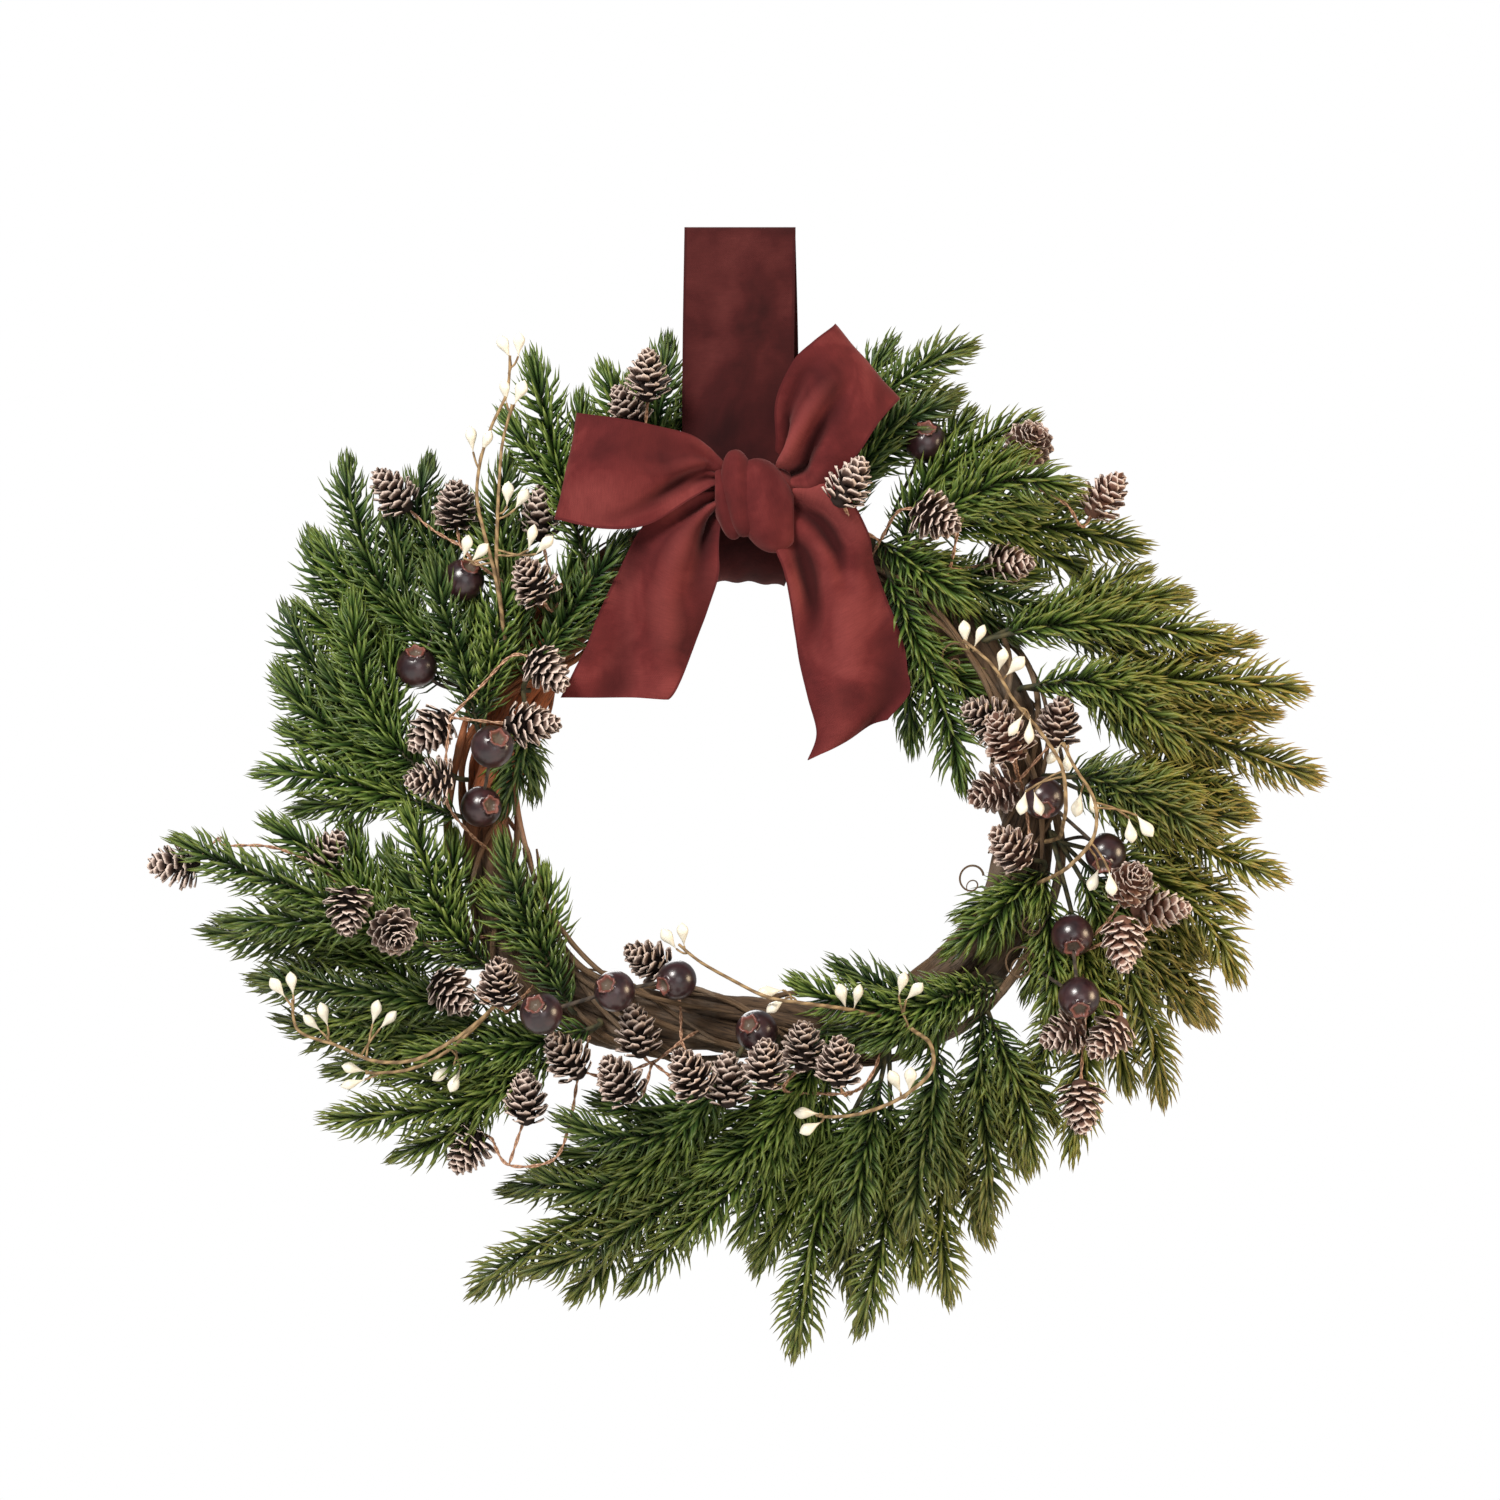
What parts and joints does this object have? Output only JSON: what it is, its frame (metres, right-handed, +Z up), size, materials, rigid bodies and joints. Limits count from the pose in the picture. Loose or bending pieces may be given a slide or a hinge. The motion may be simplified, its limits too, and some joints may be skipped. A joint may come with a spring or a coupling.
{
  "type": "christmas wreath",
  "caption": "Spruce, cone and berry wreath on a twisted vine ring, hung by a ribbon loop with a tied bow; decorates a door or wall.",
  "frame": {"origin": "inside the fold at the top of the hanging ribbon, where it hangs on its hook", "axes": "+Z up, -Y towards the viewer of the wreath's front, +X to that viewer's right"},
  "size_m": [0.5334, 0.1008, 0.5136],
  "materials": {
    "vine_bark": "rough bark",
    "ribbon_cloth": "matte woven ribbon",
    "spruce_green": "satin needles, stiff",
    "cone_brown": "dry scales with pale frosted edges",
    "berry_dark": "semi-gloss",
    "pip_cream": "glossy pips on matte paper-wrapped stems"
  },
  "bodies": {
    "root": {"berries_01": "berry_dark", "berries_02": "berry_dark", "berries_03": "berry_dark", "berries_04": "berry_dark", "berries_05": "berry_dark", "berries_06": "berry_dark", "berries_07": "berry_dark", "bow_knot": "ribbon_cloth", "bow_loop_left": "ribbon_cloth", "bow_loop_right": "ribbon_cloth", "bow_tail_left": "ribbon_cloth", "bow_tail_right": "ribbon_cloth", "cone_sprig_01": "cone_brown", "cone_sprig_02": "cone_brown", "cone_sprig_03": "cone_brown", "cone_sprig_04": "cone_brown", "cone_sprig_05": "cone_brown", "cone_sprig_06": "cone_brown", "cone_sprig_07": "cone_brown", "cone_sprig_08": "cone_brown", "cone_sprig_09": "cone_brown", "cone_sprig_10": "cone_brown", "cone_sprig_11": "cone_brown", "cone_sprig_12": "cone_brown", "cone_sprig_13": "cone_brown", "hanging_ribbon": "ribbon_cloth", "pip_sprig_01": "pip_cream", "pip_sprig_02": "pip_cream", "pip_sprig_03": "pip_cream", "pip_sprig_04": "pip_cream", "pip_sprig_05": "pip_cream", "spruce_pick_01": "spruce_green", "spruce_pick_02": "spruce_green", "spruce_pick_03": "spruce_green", "spruce_pick_04": "spruce_green", "spruce_pick_05": "spruce_green", "spruce_pick_06": "spruce_green", "spruce_pick_07": "spruce_green", "spruce_pick_08": "spruce_green", "spruce_pick_09": "spruce_green", "spruce_pick_10": "spruce_green", "spruce_pick_11": "spruce_green", "spruce_pick_12": "spruce_green", "spruce_pick_13": "spruce_green", "spruce_pick_14": "spruce_green", "spruce_pick_15": "spruce_green", "spruce_pick_16": "spruce_green", "spruce_pick_17": "spruce_green", "spruce_pick_18": "spruce_green", "spruce_pick_19": "spruce_green", "spruce_pick_20": "spruce_green", "spruce_pick_21": "spruce_green", "spruce_pick_22": "spruce_green", "spruce_pick_23": "spruce_green", "spruce_pick_24": "spruce_green", "spruce_pick_25": "spruce_green", "spruce_pick_26": "spruce_green", "spruce_pick_27": "spruce_green", "spruce_pick_28": "spruce_green", "vine_ring": "vine_bark"}
  },
  "joints": []
}
